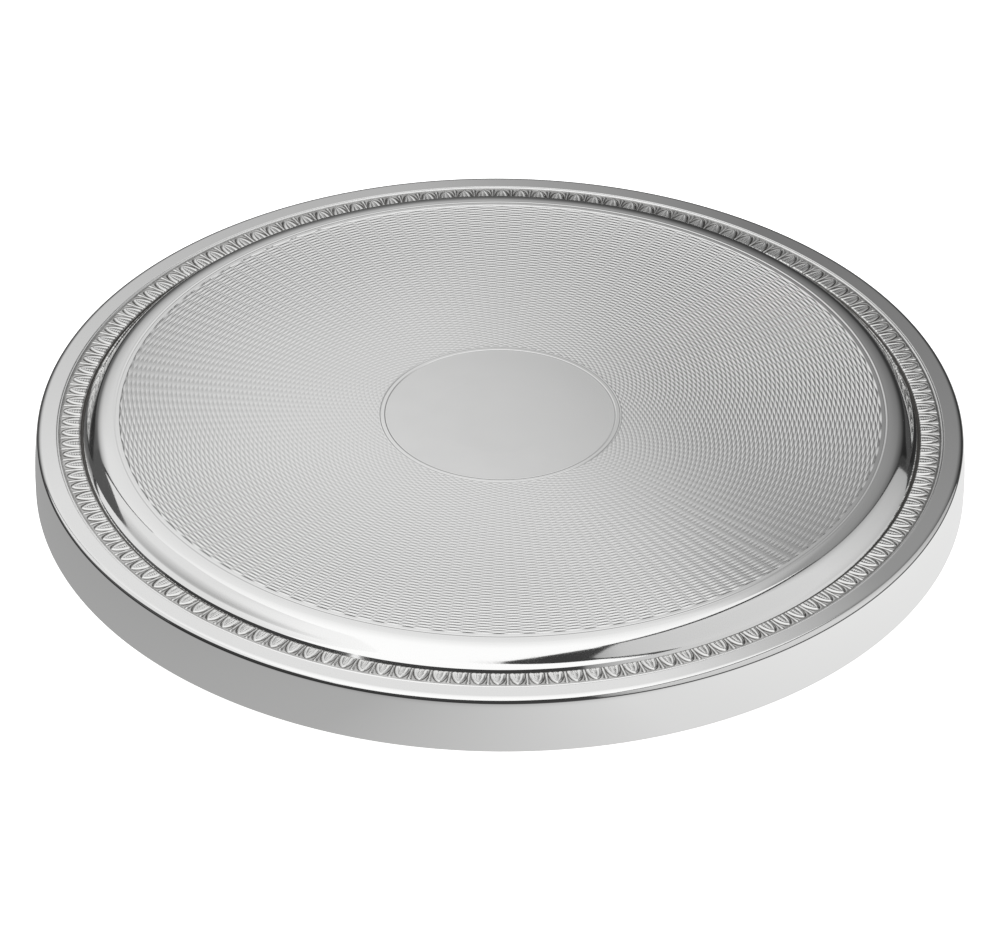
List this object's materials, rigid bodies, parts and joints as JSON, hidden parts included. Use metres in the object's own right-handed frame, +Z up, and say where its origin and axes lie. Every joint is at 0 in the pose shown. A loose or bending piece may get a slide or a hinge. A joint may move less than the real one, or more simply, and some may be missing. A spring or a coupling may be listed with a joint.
{
  "type": "offering plate",
  "caption": "Round low offering plate with a raised engine-turned centre, plain satin medallion, stamped leaf border, flat polished rim and upright skirt.",
  "frame": {"origin": "centre of the felt pad's underside, on the plate's axis, at the level of the table", "axes": "+Z up along the axis through the medallion; the plate is the same all round, -Y is the side that the reference view looks from"},
  "size_m": [0.305, 0.305, 0.027],
  "materials": {
    "polished_plate": "silver plate, mirror polished",
    "stamped_plate": "silver plate, die-stamped relief, darker in its recesses",
    "engraved_plate": "silver plate, engine turned, satin at the centre",
    "board": "turned birch plywood, sealed",
    "lacquered_brass": "spun brass sheet, brushed and lacquered",
    "raw_brass": "turned brass",
    "screw_steel": "nickel-plated steel",
    "felt": "dense wool baize, dark green"
  },
  "bodies": {
    "root": {"rim_shell": "polished_plate", "border_wire": "polished_plate", "frieze_strip": "stamped_plate", "centre_plate": "engraved_plate", "core_board": "board", "base_plate": "lacquered_brass", "stiffening_ring": "raw_brass", "base_screws": "screw_steel", "centre_stud": "raw_brass", "stud_washer": "screw_steel", "stud_nut": "raw_brass", "felt_pad": "felt"}
  },
  "joints": []
}
